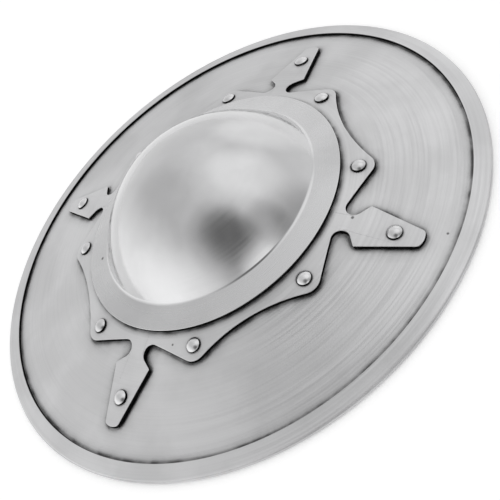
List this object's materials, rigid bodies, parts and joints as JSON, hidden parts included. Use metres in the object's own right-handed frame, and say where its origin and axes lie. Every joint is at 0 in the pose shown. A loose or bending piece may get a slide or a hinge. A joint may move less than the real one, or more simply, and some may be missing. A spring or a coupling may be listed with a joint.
{
  "type": "buckler shield",
  "caption": "Round steel buckler: a shallow cone with a hemmed edge, a riveted star-shaped plate, a hollow domed boss over the fist opening and a bar grip behind.",
  "frame": {"origin": "middle of the shield, on the surface that its rim lies on", "axes": "+Z out of the front, through the boss; +X along the grip and two of the star plate's arms, +Y along the other two"},
  "size_m": [0.3, 0.3, 0.0625],
  "materials": {
    "satin_steel": "satin, spun round the middle, with dark patina in the corners",
    "plate_steel": "satin, with dark patina round its edge",
    "polished_steel": "polished, soft reflections",
    "grip_steel": "satin, forged",
    "rivet_steel": "polished heads"
  },
  "bodies": {
    "root": {"shield_disc": "satin_steel", "star_plate": "plate_steel", "boss": "polished_steel", "hand_grip": "grip_steel", "arm_rivet_1": "rivet_steel", "arm_rivet_2": "rivet_steel", "arm_rivet_3": "rivet_steel", "arm_rivet_4": "rivet_steel", "corner_rivet_1": "rivet_steel", "corner_rivet_2": "rivet_steel", "corner_rivet_3": "rivet_steel", "corner_rivet_4": "rivet_steel", "corner_rivet_5": "rivet_steel", "corner_rivet_6": "rivet_steel", "corner_rivet_7": "rivet_steel", "corner_rivet_8": "rivet_steel"}
  },
  "joints": []
}
